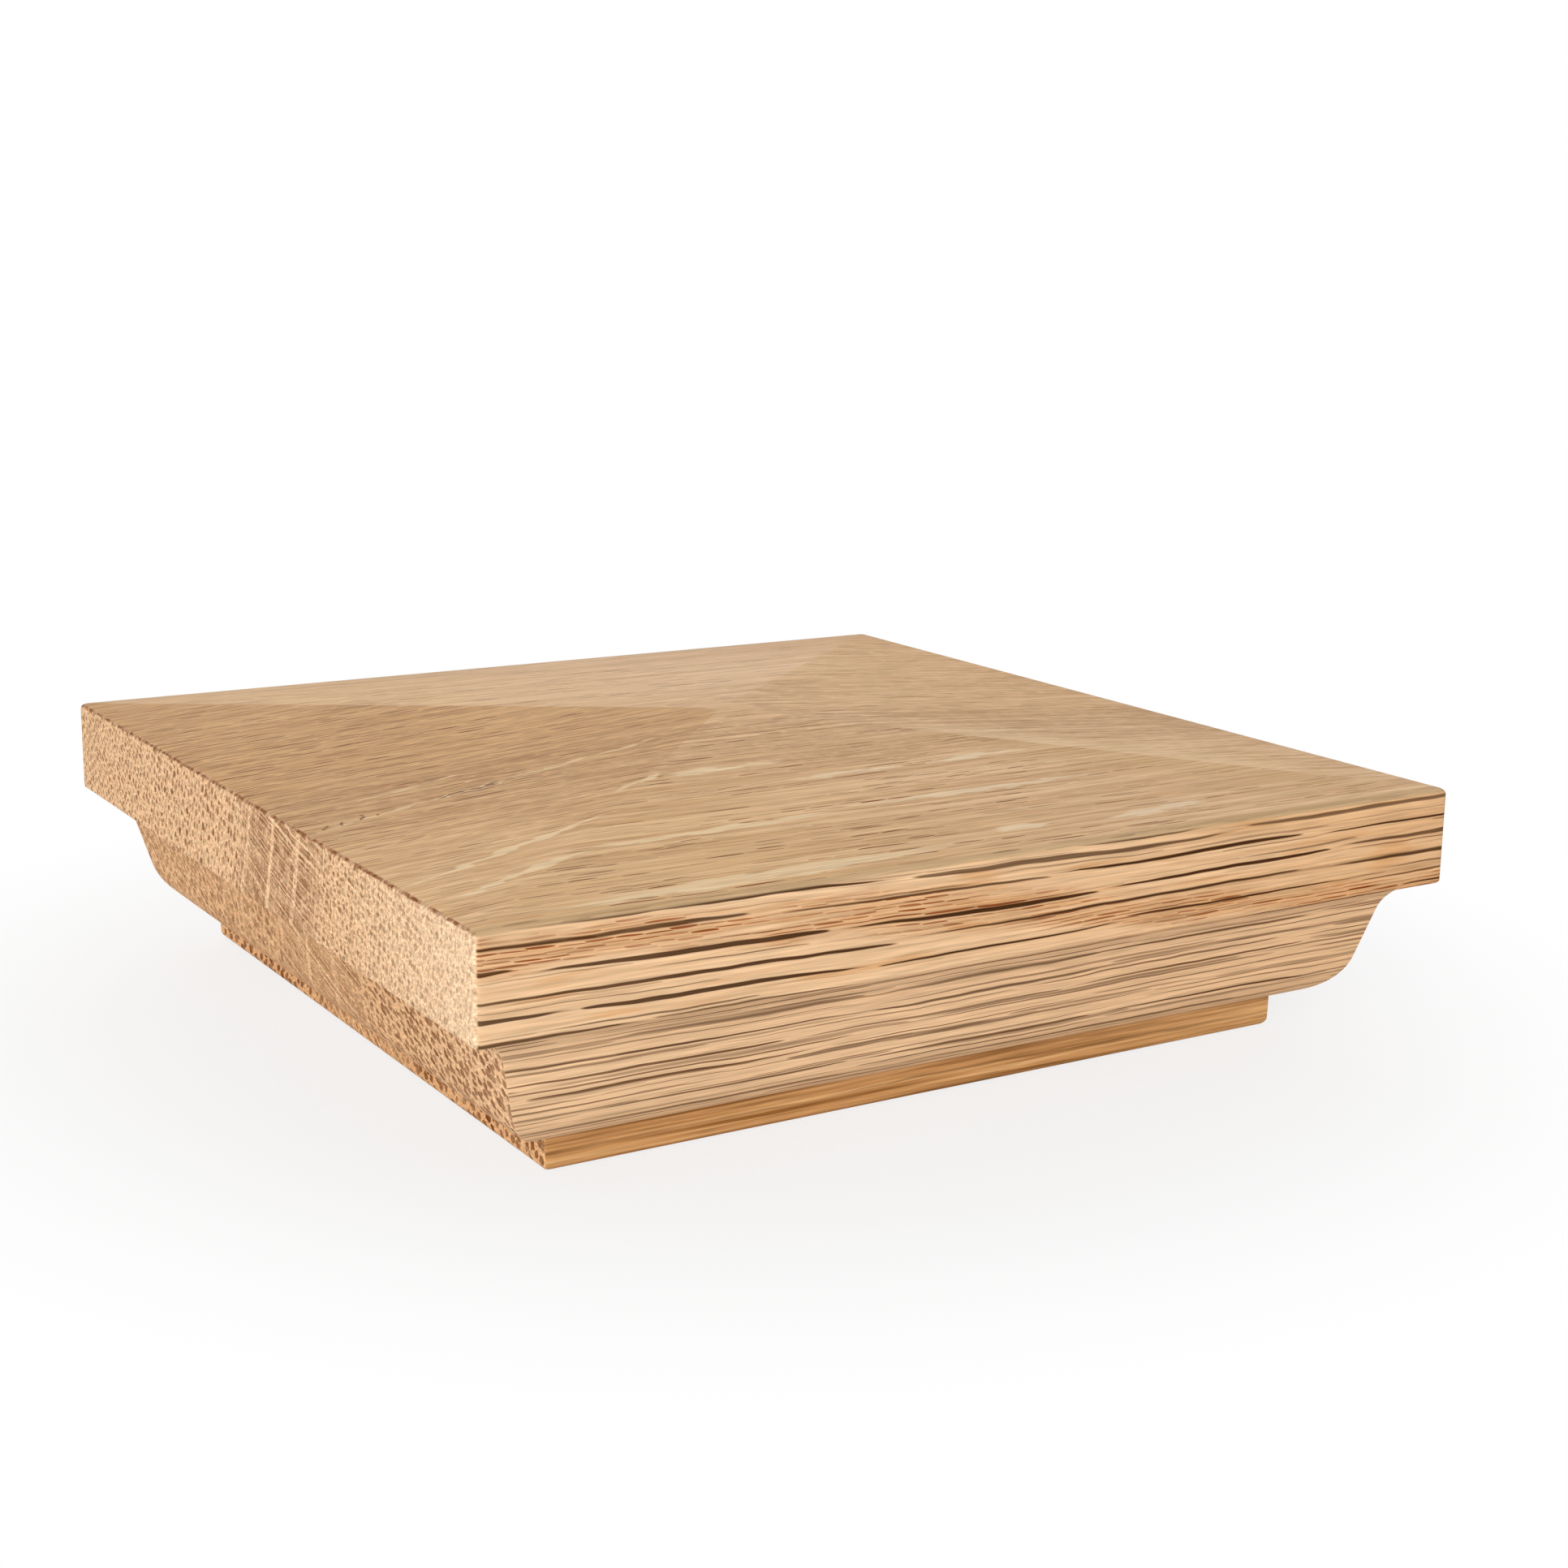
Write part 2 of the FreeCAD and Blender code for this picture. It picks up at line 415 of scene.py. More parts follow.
@dataclass(frozen=True)
class Log:
    """The log that the cap was sawn from: its pith lies above the cap's far side and runs along X.

    Sizes are in millimetres. dark_rings holds the radii at which the slow rings begin, are in full,
    start to fade and end. A wave bends the grain by half its reach to either side. early and late
    are distances from the start of a ring. ray_reference is the radius at which distances across the
    rays are true. The facing spans say how square to the end, the rays or the sky a face has to be.
    """

    pith_across: float = 72.0
    pith_up: float = 48.0
    runout: float = 0.0096
    ring_width: float = 6.75
    ring_start: float = 78.0
    early: Span = (0.42, 0.14)
    late: Span = (0.25, 0.7)
    dark_rings: tuple[float, float, float, float] = (74.0, 81.0, 93.0, 101.0)
    ray_reference: float = 131.0
    waves: tuple[tuple[Cloud, float], ...] = (
        (Cloud((75.0, 20.0, 20.0), 0.0), 1.6),
        (Cloud((14.0, 4.0, 4.0), 0.0), 0.5),
        (Cloud((3.5, 1.2, 1.2), 0.0), 0.16),
    )
    fibre: Cloud = Cloud((6.0, 0.2, 0.2), 1.0)
    fascia_foot: float = 17.8
    foot_blend: Span = (-1.6, 0.2)
    plinth_top: float = 4.0
    plinth_blend: Span = (0.1, -0.1)
    hip_blend: Span = (-8.0, 12.0)
    end_facing: Span = (0.45, 0.75)
    ray_facing: Span = (0.5, 0.85)
    top_facing: Span = (0.9, 0.96)
    upward_facing: Span = (0.3, 0.6)

    def read(self, tree: Tree) -> Grain:
        """Turn a point of the cap into its place in the log.

        Args:
            tree: Node tree of the material.

        Returns:
            The point's distances and angles, its zone of the cap, and how its face cuts the grain.
        """
        point = add_node(tree, PLACE)
        normal = point.outputs["Normal"]
        place = add_node(tree, VECTOR, {"Vector": point.outputs["Object"], "Scale": MM_PER_M},
                         operation="SCALE")
        along, across, up = add_node(tree, SPLIT, [place]).outputs
        bent = self.bend(tree, place)
        spread = add_node(tree, VECTOR, [bent, (0.0, 1.0, 1.0)], operation="MULTIPLY")
        radius = add_node(tree, VECTOR, [spread], operation="LENGTH")
        radius = add_node(tree, MATH, [along, -self.runout, radius], operation="MULTIPLY_ADD")
        ring = add_node(tree, MATH, [radius, self.ring_start], operation="SUBTRACT")
        half_ring = self.ring_width / 2.0
        ring = add_node(tree, MATH, [ring, -half_ring, half_ring], operation="WRAP")
        ring = add_node(tree, MATH, [ring], operation="ABSOLUTE")
        parts = add_node(tree, SPLIT, [bent])
        inward = add_node(tree, MATH, [parts.outputs["Y"], -1.0], operation="MULTIPLY")
        angle = add_node(tree, MATH, [parts.outputs["Z"], inward], operation="ARCTAN2")
        begin, full, fading, end = self.dark_rings
        rising = add_node(tree, RANGE, [radius, begin, full], interpolation_type=SOFT)
        falling = add_node(tree, RANGE, [radius, end, fading], interpolation_type=SOFT)
        endways, _, skyward = add_node(tree, SPLIT, [normal]).outputs
        top = add_node(tree, RANGE, [skyward, *self.top_facing])
        lean = add_node(tree, MATH, [endways, skyward], operation="MULTIPLY")
        endward = add_node(tree, MATH, [along], operation="ABSOLUTE")
        sideward = add_node(tree, MATH, [across], operation="ABSOLUTE")
        past_hip = add_node(tree, MATH, [endward, sideward], operation="SUBTRACT")
        climb = add_node(tree, RANGE, [past_hip, *self.hip_blend], interpolation_type=SOFT)
        end_cut, radial_cut, tangent_cut = self.cuts(tree, spread, normal, endways)
        fascia = add_node(tree, RANGE, [up, *(self.fascia_foot + blend for blend in self.foot_blend)])
        plinth = add_node(tree, RANGE, [up, *(self.plinth_top + blend for blend in self.plinth_blend)])
        lower = add_node(tree, MATH, [1.0, fascia], operation="SUBTRACT")
        return Grain(
            place=place,
            along=along,
            across=across,
            radius=radius,
            angle=angle,
            sweep=add_node(tree, MATH, [angle, self.ray_reference], operation="MULTIPLY"),
            early=add_node(tree, RANGE, [ring, *self.early], interpolation_type=SOFT),
            late=add_node(tree, RANGE, [ring, *self.late], interpolation_type=SOFT),
            slow=add_node(tree, MATH, [rising, falling], operation="MULTIPLY"),
            slow_middle=(full + fading) / 2.0,
            fibre=self.fibre.draw(tree, place),
            endways=endways,
            end_cut=end_cut,
            radial_cut=radial_cut,
            tangent_cut=tangent_cut,
            sanded_side=add_node(tree, MATH, [tangent_cut, plinth], operation="SUBTRACT", use_clamp=True),
            top=top,
            upward=add_node(tree, RANGE, [skyward, *self.upward_facing]),
            lean=add_node(tree, MATH, [lean], operation="ABSOLUTE"),
            sideward=sideward,
            past_hip=past_hip,
            climb=add_node(tree, MATH, [climb, top], operation="MULTIPLY"),
            fascia=fascia,
            ogee=add_node(tree, MATH, [lower, plinth], operation="SUBTRACT"),
            plinth=plinth,
        )

    def bend(self, tree: Tree, place: Node) -> Node:
        """Measure a point from the pith, pushed about by the waves of the grain.

        Args:
            tree: Node tree of the material.
            place: The point, in millimetres.

        Returns:
            The way from the pith to the point.
        """
        bent = add_node(tree, VECTOR, [place, (0.0, self.pith_across, self.pith_up)], operation="SUBTRACT")
        for cloud, reach in self.waves:
            push = cloud.draw(tree, place).outputs["Color"]
            push = add_node(tree, VECTOR, [push, (0.0, reach, reach), (0.0, -reach / 2.0, -reach / 2.0)],
                            operation="MULTIPLY_ADD")
            bent = add_node(tree, VECTOR, [bent, push], operation="ADD")
        return bent

    def cuts(self, tree: Tree, spread: Node, normal: Socket, endways: Socket) -> tuple[Node, Node, Node]:
        """Tell how the face cuts the grain.

        Args:
            tree: Node tree of the material.
            spread: The way from the pith to the point, across the grain.
            normal: Where the face looks.
            endways: How far it looks along the grain.

        Returns:
            Shares of a cut across the grain, along the rays and across the rays.
        """
        end = add_node(tree, MATH, [endways], operation="ABSOLUTE")
        end_cut = add_node(tree, RANGE, [end, *self.end_facing])
        long_cut = add_node(tree, MATH, [1.0, end_cut], operation="SUBTRACT")
        ray_side = add_node(tree, VECTOR, [spread, (1.0, 0.0, 0.0)], operation="CROSS_PRODUCT")
        ray_side = add_node(tree, VECTOR, [ray_side], operation="NORMALIZE")
        flatness = add_node(tree, VECTOR, [ray_side, normal], operation="DOT_PRODUCT")
        flatness = add_node(tree, MATH, [flatness], operation="ABSOLUTE")
        radial = add_node(tree, RANGE, [flatness, *self.ray_facing])
        crossed = add_node(tree, MATH, [1.0, radial], operation="SUBTRACT")
        radial_cut = add_node(tree, MATH, [radial, long_cut], operation="MULTIPLY")
        tangent_cut = add_node(tree, MATH, [crossed, long_cut], operation="MULTIPLY")
        return end_cut, radial_cut, tangent_cut


class Layer(ABC):
    """One feature of the wood, laid over the colour so far. Its sizes are in millimetres."""

    @abstractmethod
    def draw(self, tree: Tree, grain: Grain, colour: Any) -> Node:
        """Lay the feature over the colour.

        Args:
            tree: Node tree of the material.
            grain: Where the point lies in the log.
            colour: The colour so far.

        Returns:
            The colour with the feature.
        """


@dataclass(frozen=True)
class Wash(Layer):
    """One tone, laid as strongly as all that is listed for it allows.

    zones are shares of Grain by name. levels and clouds say by which ramp a value of Grain or some
    noise is read. heights are shares on the fascia, the ogee and the plinth, and dashes lie along
    the grain of the long sides.
    """

    tone: str
    zones: tuple[str, ...]
    levels: dict[str, Span | Ramp] = field(default_factory=dict)
    clouds: dict[Cloud, Span | Ramp] = field(default_factory=dict)
    heights: tuple[Heights, ...] = ()
    dashes: tuple[Rows, ...] = ()
    share: float = 1.0

    def draw(self, tree: Tree, grain: Grain, colour: Any) -> Node:
        """Lay the tone over the colour.

        Args:
            tree: Node tree of the material.
            grain: Where the point lies in the log.
            colour: The colour so far.

        Returns:
            The colour with the tone.
        """
        shares = [self.share]
        shares += [getattr(grain, zone) for zone in self.zones]
        shares += [grain.by_height(tree, heights) for heights in self.heights]
        shares += [rows.draw(tree, grain.sweep, grain.along) for rows in self.dashes]
        read = [(getattr(grain, name), ramp) for name, ramp in self.levels.items()]
        read += [(cloud.draw(tree, grain.place), ramp) for cloud, ramp in self.clouds.items()]
        shares += [add_node(tree, RANGE, [value, *ramp]) for value, ramp in read]
        return paint(tree, colour, self.tone, *shares)


@dataclass(frozen=True)
class Streaks(Layer):
    """Deeper lengthwise streaks, fainter on the long sides, above all to the left, and on the ogee, where the
    paler ground is painted light that lifts the shade in its cove.
    """

    cloud: Cloud = Cloud((45.0, 0.9, 0.9), 2.0)
    span: Span = (0.35, 0.65)
    on_sides: Ramp = (-20.0, 50.0, 0.45, 0.9)
    on_ogee: float = 0.4
    deep: str = "#d4ab80"

    def draw(self, tree: Tree, grain: Grain, colour: Any) -> Node:
        """Lay the streaks over the pale wood.

        Args:
            tree: Node tree of the material.
            grain: Where the point lies in the log.
            colour: The pale wood.

        Returns:
            The ground that the other features lie on.
        """
        depth = add_node(tree, RANGE, [self.cloud.draw(tree, grain.place), *self.span])
        side = add_node(tree, RANGE, [grain.along, *self.on_sides])
        side = add_node(tree, MIX, {"Factor": grain.tangent_cut, "A": 1.0, "B": side}, data_type="FLOAT")
        # Fainter on the ogee: painted light that lifts the shade in its cove.
        clear = add_node(tree, RANGE, [grain.ogee, 0.0, 1.0, 1.0, self.on_ogee])
        return paint(tree, colour, self.deep, depth, side, clear)


@dataclass(frozen=True)
class TopPores(Layer):
    """Pores on the faces along the rays: in broken lines, and all over where the face climbs."""

    # Up to 0.32 mm wide, as the widest real ones are, but fewer of them.
    dashes: Rows = Rows(pitch=0.66, length=4.2, thin=0.02, thick=0.16, soft=0.04, stray=0.8,
                        faint=0.12, skew=1.3, seed=70.0)
    lines: Cloud = Cloud((26.0, 0.55, 0.55), 1.0)
    line_span: Span = (0.44, 0.53)
    climbing: Ramp = (-40.0, 10.0, 0.5, 1.0)
    quieter: Ramp = (5.0, 35.0, 1.0, 0.6)
    beside_top: float = 0.65
    brown: str = PORE_BROWN

    def draw(self, tree: Tree, grain: Grain, colour: Any) -> Node:
        """Lay the pores over the pyramid and the far side.

        Args:
            tree: Node tree of the material.
            grain: Where the point lies in the log.
            colour: The colour so far.

        Returns:
            The colour with the pyramid's pores.
        """
        dashes = self.dashes.draw(tree, grain.radius, grain.along)
        spot = add_node(tree, JOIN, [grain.along, grain.radius])
        lines = add_node(tree, RANGE, [self.lines.draw(tree, spot), *self.line_span])
        back = add_node(tree, RANGE, [grain.across, *self.climbing])
        shown = add_node(tree, MIX, {"Factor": grain.climb, "A": lines, "B": back}, data_type="FLOAT")
        quiet = add_node(tree, RANGE, [grain.along, *self.quieter])
        crisp = add_node(tree, RANGE, [grain.top, 0.0, 1.0, self.beside_top, 1.0])
        return paint(tree, colour, self.brown, dashes, shown, grain.radial_cut, quiet, crisp)


@dataclass(frozen=True)
class EndPores(Layer):
    """Dots of the end grain, paler at the front, coarser and deeper towards the plinth.

    references holds the radii at which distances across the rays are true, inside the middle of the
    slow rings and outside it, and change is the width of the step. A low one stretches the dots
    round the pith.
    """

    # Real pores are about 0.3 mm wide: these are drawn two to three times as wide, or they would not show.
    pores: Pits = Pits(across=0.82, along=1.0, small=0.22, large=0.5, core=0.55, faint=0.55, jumble=0.5)
    fine_pores: Pits = Pits(across=0.36, along=0.46, small=0.15, large=0.5, core=0.4, faint=0.2)
    pits: Pits = Pits(across=0.9, along=1.2, small=0.3, large=0.56, core=0.7, faint=0.75, jumble=0.6)
    references: tuple[float, float] = (38.0, 100.0)
    change: float = 0.1
    rough: Cloud = Cloud((0.5, 0.5, 0.5), 0.0)
    rough_reach: float = 0.4
    fine_share: float = 0.75
    paler: Ramp = (-20.0, -57.0, 0.95, 0.4)
    coarser: Ramp = (15.0, -25.0, 0.5, 0.85)
    slow_share: float = 0.6
    brown: str = "#7a4316"

    def draw(self, tree: Tree, grain: Grain, colour: Any) -> Node:
        """Lay the dots over the end grain.

        Args:
            tree: Node tree of the material.
            grain: Where the point lies in the log.
            colour: The colour so far.

        Returns:
            The colour with the end grain's pores.
        """
        middle = grain.slow_middle
        reference = add_node(tree, RANGE, [grain.radius, middle, middle + self.change, *self.references])
        sweep = add_node(tree, MATH, [grain.angle, reference], operation="MULTIPLY")
        spot = add_node(tree, JOIN, [sweep, grain.radius])
        reach = self.rough_reach
        push = self.rough.draw(tree, grain.place).outputs["Color"]
        push = add_node(tree, VECTOR, [push, (reach, reach, 0.0), (-reach / 2.0, -reach / 2.0, 0.0)],
                        operation="MULTIPLY_ADD")
        spot = add_node(tree, VECTOR, [spot, push], operation="ADD")
        fine = add_node(tree, MATH, [self.fine_pores.draw(tree, spot), self.fine_share], operation="MULTIPLY")
        dots = add_node(tree, MATH, [self.pores.draw(tree, spot), fine], operation="MAXIMUM")
        paler = add_node(tree, RANGE, [grain.across, *self.paler])
        dots = add_node(tree, MATH, [dots, paler], operation="MULTIPLY")
        coarse = add_node(tree, RANGE, [grain.across, *self.coarser])
        low = add_node(tree, MATH, [grain.ogee, coarse, grain.plinth], operation="MULTIPLY_ADD")
        pits = self.pits.draw(tree, spot)
        dots = add_node(tree, MIX, {"Factor": low, "A": dots, "B": pits}, data_type="FLOAT")
        closed = add_node(tree, RANGE, [grain.slow, 0.0, 1.0, 1.0, self.slow_share])
        return paint(tree, colour, self.brown, dots, grain.end_cut, closed)


@dataclass(frozen=True)
class Rays(Layer):
    """Rays: dark spindles where they are cut across, and pale lines on the end grain.

    Broad rays stand 2 mm apart and run 38 mm, and smaller and softer ones lie between them. The
    shares of each kind are those on the fascia, the ogee and the plinth. A broad ray has a shallow
    edge and a deep middle, the heart: the brown of its edge is partly the ray's own colour and partly
    painted shade of its shallow groove. soft_line and line_share hold the strength of the end grain's
    soft lines and of all of them, outside the slow rings and in them.
    """

    broad: Rows = Rows(pitch=1.95, length=38.0, thin=0.07, thick=0.26, soft=0.13, stray=0.4,
                       faint=0.6, skew=1.1, seed=8.86)
    small: Rows = Rows(pitch=1.35, length=20.0, thin=0.0, thick=0.11, soft=0.07, stray=0.7,
                       faint=0.1, skew=1.6, seed=21.0)
    soft: Rows = Rows(pitch=0.86, length=40.0, thin=0.03, thick=0.18, soft=0.04, stray=0.6,
                      faint=0.5, skew=1.0, seed=40.0)
    edge_and_shade: Span = (0.05, 0.5)
    heart: Span = (0.42, 0.75)
    soft_shares: Heights = (0.15, 1.0, 0.3)
    small_shares: Heights = (0.9, 0.6, 0.2)
    edge_and_shade_shares: Heights = (0.5, 0.25, 0.1)
    heart_shares: Heights = (1.0, 0.5, 0.15)
    faded: Ramp = (-57.0, -5.0, 0.84, 1.0)
    soft_line: tuple[float, float] = (0.5, 0.85)
    line_share: tuple[float, float] = (0.3, 0.85)
    dark: str = "#452810"
    brown: str = "#6f4420"
    soft_brown: str = "#562d0a"
    pale: str = "#f2cfa6"

    def draw(self, tree: Tree, grain: Grain, colour: Any) -> Node:
        """Lay the rays over the long sides and the end grain.

        Args:
            tree: Node tree of the material.
            grain: Where the point lies in the log.
            colour: The colour so far.

        Returns:
            The colour with the rays.
        """
        broad = self.broad.draw(tree, grain.sweep, grain.along)
        small = self.small.draw(tree, grain.sweep, grain.along)
        soft = self.soft.draw(tree, grain.sweep, grain.along)
        # The broad ray's brown edge: partly its own colour, partly painted shade of its shallow groove.
        edge_and_shade = add_node(tree, RANGE, [broad, *self.edge_and_shade])
        heart = add_node(tree, RANGE, [broad, *self.heart])
        faded = add_node(tree, RANGE, [grain.along, *self.faded])
        kinds = (
            (soft, self.soft_shares, self.soft_brown),
            (small, self.small_shares, self.dark),
            (edge_and_shade, self.edge_and_shade_shares, self.brown),
            (heart, self.heart_shares, self.dark),
        )
        for ray, heights, tone in kinds:
            share = grain.by_height(tree, heights)
            colour = paint(tree, colour, tone, ray, share, faded, grain.tangent_cut)
        bold = add_node(tree, RANGE, [grain.slow, 0.0, 1.0, *self.soft_line])
        line = add_node(tree, MATH, [soft, bold], operation="MULTIPLY")
        for other in (heart, small):
            line = add_node(tree, MATH, [line, other], operation="MAXIMUM")
        plain = add_node(tree, RANGE, [grain.slow, 0.0, 1.0, *self.line_share])
        return paint(tree, colour, self.pale, line, grain.end_cut, plain)


@dataclass(frozen=True)
class Marks(Layer):
    """Pale ribbons of ray and torn fibres on the pyramid, with ragged edges and pointed ends.

    shake is how far the edges wander, and core the share of a mark's width that shows in full.
    """

    ribbons: tuple[Ribbon, ...] = (
        Ribbon((-38.6, -40.8), (-9.0, -39.3), 1.6),
        Ribbon((-11.0, -38.6), (26.4, -38.0), 1.4),
        Ribbon((-20.5, -22.0), (-4.0, -21.8), 1.9, 0.8),
        Ribbon((-9.0, -28.2), (8.5, -27.9), 1.5, 0.7),
        Ribbon((8.5, -27.6), (24.5, -27.3), 1.5, 0.7),
        Ribbon((1.0, -51.0), (9.5, -50.6), 1.8, 0.5),
        Ribbon((13.0, -52.0), (31.0, -50.2), 2.0, 0.5),
        Ribbon((-57.0, -55.0), (3.0, -52.6), 3.6, 0.3),
        Ribbon((-7.5, -6.4), (-58.5, -18.8), 0.9),
        Ribbon((-34.0, -6.8), (-50.0, -10.5), 0.7),
        Ribbon((-29.0, -30.6), (-58.5, -41.8), 1.1),
        Ribbon((-36.5, -40.4), (-56.0, -47.8), 1.3),
        Ribbon((-19.0, -20.6), (-27.0, -25.0), 1.2),
    )
    tears: tuple[Ribbon, ...] = (
        Ribbon((-55.6, -18.2), (-54.4, -16.4), 0.5),
        Ribbon((-53.4, -17.6), (-52.8, -16.2), 0.4),
        Ribbon((-51.2, -17.2), (-50.2, -15.4), 0.5),
        Ribbon((-49.2, -16.6), (-48.8, -15.4), 0.4),
        Ribbon((-44.0, -15.2), (-27.0, -11.2), 0.5),
    )
    ragged: Cloud = Cloud((5.0, 1.2, 1.2), 2.0)
    shake: float = 2.6
    frayed: Cloud = Cloud((7.0, 0.3, 0.3), 2.0)
    frayed_share: Ramp = (0.36, 0.54, 0.6, 1.0)
    core: float = 0.72
    ribbon_share: float = 0.9
    ribbon_pale: str = "#f2d8b5"
    tear_share: float = 0.8
    tear_brown: str = PORE_BROWN

    def draw(self, tree: Tree, grain: Grain, colour: Any) -> Node:
        """Lay the ribbons and the torn fibres over the pyramid.

        Args:
            tree: Node tree of the material.
            grain: Where the point lies in the log.
            colour: The colour so far.

        Returns:
            The colour with the marks.
        """
        shake = self.ragged.draw(tree, grain.place)
        shake = add_node(tree, MATH, [shake, self.shake, -self.shake / 2.0], operation="MULTIPLY_ADD")
        shake = add_node(tree, MATH, [shake, grain.across], operation="ADD")
        spot = add_node(tree, JOIN, [grain.along, shake])
        frayed = add_node(tree, RANGE, [self.frayed.draw(tree, grain.place), *self.frayed_share])
        kinds = (
            (self.ribbons, self.ribbon_pale, self.ribbon_share),
            (self.tears, self.tear_brown, self.tear_share),
        )
        for marks, tone, share in kinds:
            nearest = FAR
            for mark in marks:
                distance = mark.draw(tree, spot)
                if mark.strength < 1.0:
                    weaker = (1.0 - self.core) * (1.0 - mark.strength)
                    distance = add_node(tree, MATH, [distance, weaker], operation="ADD")
                nearest = add_node(tree, MATH, [nearest, distance], operation="MINIMUM")
            mask = add_node(tree, RANGE, [nearest, 1.0, self.core, 0.0, 1.0])
            colour = paint(tree, colour, tone, mask, frayed, grain.top, share)
        return colour


@dataclass(frozen=True)
class SlopeTones(Layer):
    """The tones of the pyramid's slopes, partly painted light and shade.

    The -X slope is deeper, partly from its end grain and partly as painted shade. At the front right
    hip the +X slope has a painted highlight and the -Y slope painted shade. The facing spans pick the
    slopes that lean to -X and +X. The others are places along X, across the grain, or past the hip
    towards the ends.
    """

    west_facing: Span = (-0.02, -0.05)
    west_across: Span = (-40.0, 5.0)
    east_facing: Span = (0.02, 0.05)
    east_across: Ramp = (-18.0, 0.0, 0.0, 0.6)
    front_along: Ramp = (-25.0, 20.0, 1.0, 0.0)
    hip_start: Span = (12.0, 22.0)
    hip_end: Span = (54.0, 44.0)
    hip_across: Span = (-4.0, -12.0)
    past_hip: Span = (13.0, 3.0)
    before_hip: Span = (-18.0, -3.0)
    hip_highlight: str = "#f9d9ad"
    hip_highlight_share: float = 0.32
    hip_shade: str = "#f9f8f0"
    top_tint: str = "#fdf9ec"
    west_grain_and_shade: str = "#ece2d0"

    def draw(self, tree: Tree, grain: Grain, colour: Any) -> Node:
        """Tint the slopes.

        Args:
            tree: Node tree of the material.
            grain: Where the point lies in the log.
            colour: The colour so far.

        Returns:
            The colour with the slopes' tones.
        """
        west = add_node(tree, RANGE, [grain.endways, *self.west_facing])
        back = add_node(tree, RANGE, [grain.across, *self.west_across])
        east = add_node(tree, RANGE, [grain.endways, *self.east_facing])
        south = add_node(tree, MATH, [1.0, east], operation="SUBTRACT")
        far = add_node(tree, RANGE, [grain.across, *self.east_across])
        far = add_node(tree, MATH, [far, east], operation="MULTIPLY")
        front = add_node(tree, RANGE, [grain.along, *self.front_along])
        front = add_node(tree, MATH, [front, far], operation="MAXIMUM")
        hip = (
            add_node(tree, RANGE, [grain.along, *self.hip_start]),
            add_node(tree, RANGE, [grain.along, *self.hip_end]),
            add_node(tree, RANGE, [grain.across, *self.hip_across]),
            grain.top,
        )
        beyond = add_node(tree, RANGE, [grain.past_hip, *self.past_hip])
        before = add_node(tree, RANGE, [grain.past_hip, *self.before_hip])
        # A painted highlight on the +X slope beside the front right hip.
        colour = paint(tree, colour, self.hip_highlight, *hip, east, beyond, self.hip_highlight_share)
        colour = paint(tree, colour, self.top_tint, front, grain.top, coat=Coat.TINT)
        # Painted shade on the -Y slope beside the same hip.
        colour = paint(tree, colour, self.hip_shade, *hip, before, south, coat=Coat.TINT)
        # The -X slope deeper: partly its end grain, partly painted shade.
        return paint(tree, colour, self.west_grain_and_shade, west, grain.top, back, coat=Coat.TINT)


@dataclass(frozen=True)
class FineFibres(Layer):
    """The finest texture: fibres 0.2 mm wide on the sides, and specks of 0.3 mm on the ends.

    Real fibres are a tenth of that, and would not show.
    """

    speckle: Cloud = Cloud((0.3, 0.34, 0.26), 1.0)
    fibre_levels: Ramp = (0.25, 0.75, 0.83, 1.17)
    speck_levels: Ramp = (0.25, 0.75, 0.64, 1.36)

    def draw(self, tree: Tree, grain: Grain, colour: Any) -> Node:
        """Lighten and darken the colour.

        Args:
            tree: Node tree of the material.
            grain: Where the point lies in the log.
            colour: The colour so far.

        Returns:
            The finished colour.
        """
        streak = add_node(tree, RANGE, [grain.fibre, *self.fibre_levels])
        speck = add_node(tree, RANGE, [self.speckle.draw(tree, grain.place), *self.speck_levels])
        level = add_node(tree, MIX, {"Factor": grain.end_cut, "A": streak, "B": speck}, data_type="FLOAT")
        return add_node(tree, VECTOR, {0: colour, "Scale": level}, operation="SCALE")


# What several washes of the oak share.
PLINTH_SIDE = ("plinth", "tangent_cut")
PLINTH_STREAKS = Cloud((30.0, 0.6, 0.45), 2.0)
HONEY_PALE = "#deb27c"
RING_START = ("early", "sanded_side")
RUST_PATCHES = {Cloud((20.0, 1.2, 1.2), 1.0): (0.3, 0.44)}
STAIN = "#cf955c"


